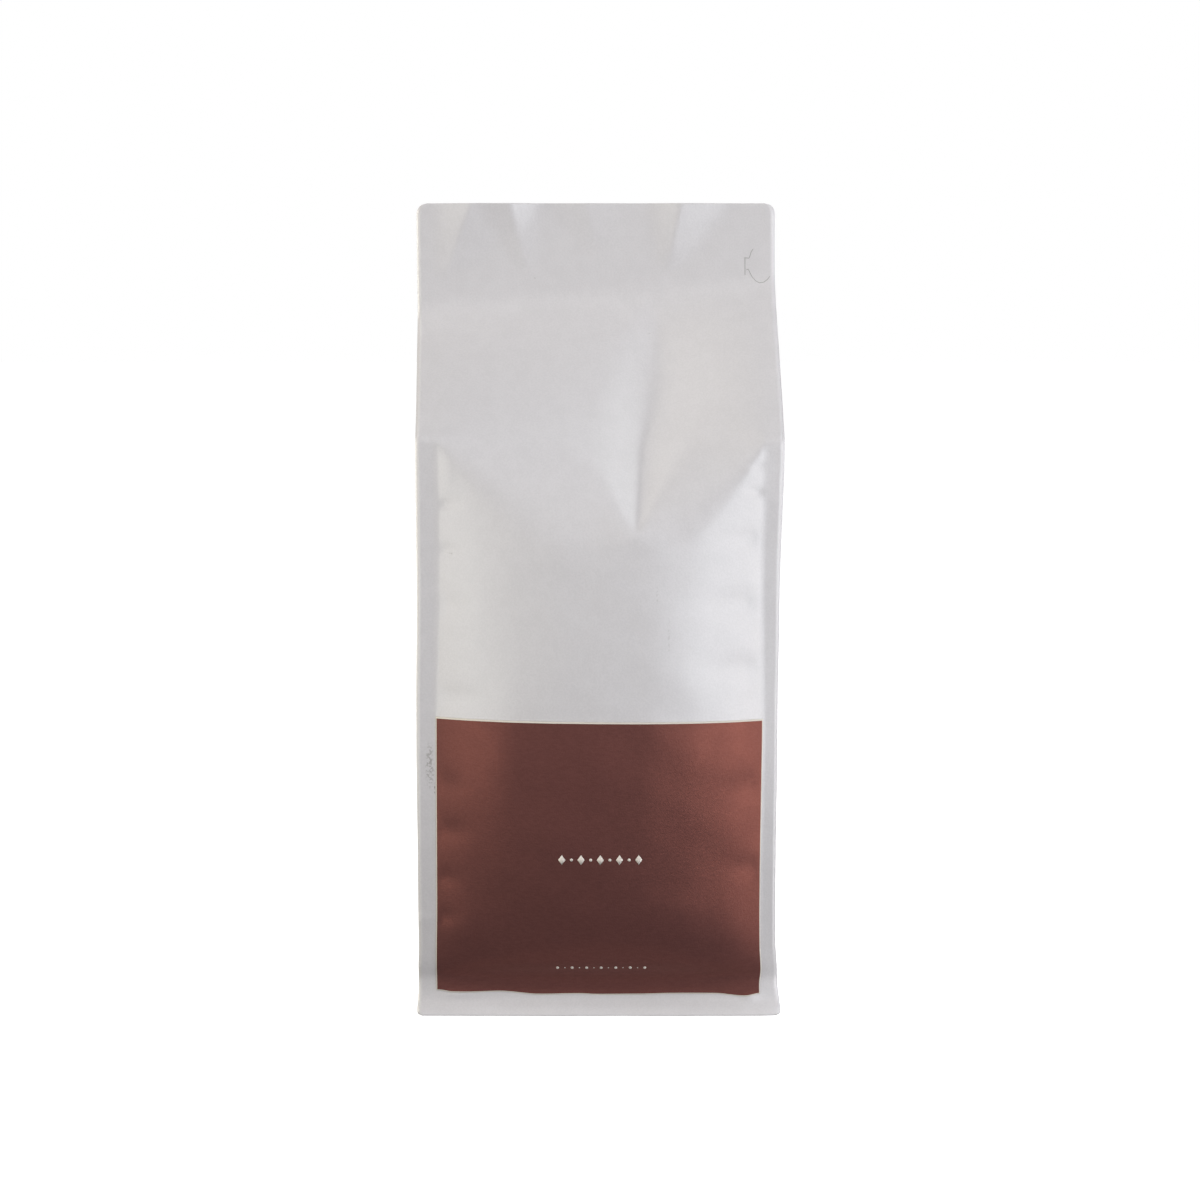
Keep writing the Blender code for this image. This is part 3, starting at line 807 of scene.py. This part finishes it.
def make_film():
    """Pearl-white laminate: satin, with a fine grain, faint mottling, a dirt smudge and painted shade in
    small folds.
    """
    surface = Surface("pearl_film", FILM_COLOR, FILM_ROUGHNESS)
    surface.shader.inputs["Specular IOR Level"].default_value = FILM_SPECULAR
    grain = surface.noise(FILM_GRAIN_SIZE, 3.0)
    blotches = surface.noise(FILM_BLOTCH_SIZE)
    share = surface.weave(grain, blotches, FILM_GRAIN_SHARE)
    color = surface.blend(share, *shades(FILM_COLOR, FILM_SHADE_SPREAD))
    smudge_and_shade = None
    # Painted shade in small folds and along the left seal root, with one dirt smudge, darkens the film's
    # colour here
    for x, z, reach_x, reach_z, strength in SMUDGES_AND_FOLD_SHADE:
        behind = SMUDGE_AND_SHADE_BODY_Y if z < SHOULDER_LEVEL else 0.0
        spot = surface.math("MULTIPLY", surface.spot((x, z), (reach_x, reach_z), behind), strength)
        smudge_and_shade = spot if smudge_and_shade is None else surface.math("MAXIMUM", smudge_and_shade, spot)
    specks = surface.spread(surface.noise(SMUDGE_AND_SHADE_SPECK_SIZE, 3.0), *SMUDGE_AND_SHADE_SPECK_RANGE, 0.0, 1.0)
    color = surface.blend(surface.math("MULTIPLY", smudge_and_shade, specks), color, (*SMUDGE_AND_SHADE_COLOR, 1.0))
    surface.feed(surface.shader.inputs["Base Color"], color)
    surface.vary_roughness(blotches, FILM_ROUGHNESS, FILM_ROUGHNESS_SPREAD)
    surface.bump(grain, GRAIN_HEIGHT)
    surface.bump(surface.noise(FILM_CRUMPLE_SIZE, 2.0, FILM_CRUMPLE_STRETCH), FILM_CRUMPLE_HEIGHT)
    return surface.material


def make_print():
    """Dark brown satin print over metallised film, with the press's fine cross grain."""
    surface = Surface("brown_print", PRINT_COLOR, PRINT_ROUGHNESS)
    surface.shader.inputs["Metallic"].default_value = PRINT_METALLIC
    surface.shader.inputs["Specular IOR Level"].default_value = PRINT_SPECULAR
    surface.shader.inputs["Specular Tint"].default_value = (*PRINT_SPECULAR_TINT, 1.0)
    grain = surface.noise(PRINT_GRAIN_SIZE, 3.0)
    streaks = surface.noise(PRINT_STREAK_SIZE, 2.0, PRINT_STREAK_STRETCH)
    share = surface.weave(grain, streaks, PRINT_GRAIN_SHARE)
    color = surface.blend(share, *shades(PRINT_COLOR, PRINT_SHADE_SPREAD))
    surface.feed(surface.shader.inputs["Base Color"], color)
    surface.vary_roughness(surface.noise(PRINT_BLOTCH_SIZE), PRINT_ROUGHNESS, PRINT_ROUGHNESS_SPREAD)
    surface.bump(grain, GRAIN_HEIGHT)
    surface.bump(streaks, PRINT_STREAK_HEIGHT)
    return surface.material


def make_plain(name, color, roughness):
    """An even surface with a faint grain."""
    surface = Surface(name, color, roughness)
    grain = surface.noise(PLAIN_GRAIN_SIZE)
    color = surface.blend(grain, *shades(color, PLAIN_SHADE_SPREAD))
    surface.feed(surface.shader.inputs["Base Color"], color)
    return surface.material


# Stage, light and camera

def make_floor():
    """A plain pale floor, which doesn't throw light back at the bag."""
    bpy.ops.mesh.primitive_plane_add(size=FLOOR_SIZE, location=(0.0, 0.0, 0.0))
    floor = bpy.context.object
    floor.name = "floor"
    surface = Surface("pale_floor", FLOOR_COLOR, FLOOR_ROUGHNESS)
    surface.shader.inputs["Emission Color"].default_value = (1.0, 1.0, 1.0, 1.0)
    surface.shader.inputs["Emission Strength"].default_value = FLOOR_GLOW
    floor.data.materials.append(surface.material)
    floor.visible_diffuse = False
    floor.visible_glossy = False
    floor.visible_shadow = False


def make_grey_card():
    """A dark ring round the bag's foot, open at the front right, which shades it and stays unseen."""
    turn = np.radians(np.linspace(*CARD_TURN_DEGREES, CARD_POINTS + 1))
    radius = np.array([CARD_INNER_RADIUS, CARD_OUTER_RADIUS])[:, None]
    sheet = Sheet()
    x, y = CARD_MIDDLE_X + radius * np.cos(turn), radius * np.sin(turn)
    points = np.stack((x, y, np.full(x.shape, CARD_LEVEL)), axis=2)
    sheet.add_grid(sheet.add_points(points))
    card = sheet.make("grey_card", [make_plain("card_grey", CARD_COLOR, CARD_ROUGHNESS)])
    card.visible_camera = False


def make_area_light(name, place, size, power, color):
    """A rectangular soft light at a place, turned to the bag, unseen by the camera."""
    data = bpy.data.lights.new(name, "AREA")
    data.shape = "RECTANGLE"
    data.size, data.size_y = size
    data.energy = power
    data.color = color
    item = bpy.data.objects.new(name, data)
    item.location = place
    aim = Vector(LIGHT_TARGET) - item.location
    item.rotation_euler = aim.to_track_quat("-Z", "Y").to_euler()
    item.visible_camera = False
    bpy.context.scene.collection.objects.link(item)


def make_lights():
    """Soft boxes all round, at one distance from the bag and turned to it."""
    for name, azimuth, elevation, size, radiance, color in SOFT_BOXES:
        turn, rise = math.radians(azimuth), math.radians(elevation)
        place = (LIGHT_DISTANCE * math.sin(turn) * math.cos(rise),
                 -LIGHT_DISTANCE * math.cos(turn) * math.cos(rise),
                 LIGHT_TARGET[2] + LIGHT_DISTANCE * math.sin(rise))
        make_area_light(name, place, size, radiance * math.pi * size[0] * size[1], color)


def make_world():
    """Soft grey light all round, seen as plain white by the camera."""
    world = bpy.data.worlds.new("studio")
    bpy.context.scene.world = world
    world.use_nodes = True
    tree = world.node_tree
    ambient = tree.nodes["Background"]
    ambient.inputs["Color"].default_value = (AMBIENT, AMBIENT, AMBIENT, 1.0)
    backdrop = tree.nodes.new("ShaderNodeBackground")
    backdrop.inputs["Color"].default_value = (1.0, 1.0, 1.0, 1.0)
    path = tree.nodes.new("ShaderNodeLightPath")
    mix = tree.nodes.new("ShaderNodeMixShader")
    tree.links.new(path.outputs["Is Camera Ray"], mix.inputs["Fac"])
    tree.links.new(ambient.outputs["Background"], mix.inputs[1])
    tree.links.new(backdrop.outputs["Background"], mix.inputs[2])
    tree.links.new(mix.outputs["Shader"], tree.nodes["World Output"].inputs["Surface"])


def make_camera():
    """The photograph's view: square on, a little from above, through a long lens."""
    data = bpy.data.cameras.new("camera")
    data.sensor_width = SENSOR_MM
    data.lens = FOCAL_PIXELS / FRAME_PIXELS * SENSOR_MM
    item = bpy.data.objects.new("camera", data)
    item.location = CAMERA_PLACE
    item.rotation_euler = (math.radians(90.0 - CAMERA_DOWN_DEGREES), 0.0, 0.0)
    bpy.context.scene.collection.objects.link(item)
    bpy.context.scene.camera = item
    bpy.context.scene.view_settings.view_transform = "Standard"


def dress(piece, node):
    """Puts a piece in the place of its plain solid."""
    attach(piece, "root")
    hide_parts(node)


def add_trim(piece):
    """Adds a piece that no solid stands for."""
    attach(piece, "root")


make_camera()
dress(make_pouch(make_film()), "pouch")
border = make_plain("cream_border", BORDER_COLOR, CREAM_ROUGHNESS)
dress(make_label(make_print(), border), "label")
add_trim(make_marks(make_plain("cream_ink", INK_COLOR, CREAM_ROUGHNESS)))
add_trim(make_tear_tab(make_plain("cut_shade", CUT_COLOR, CUT_ROUGHNESS)))
make_floor()
make_grey_card()
make_lights()
make_world()
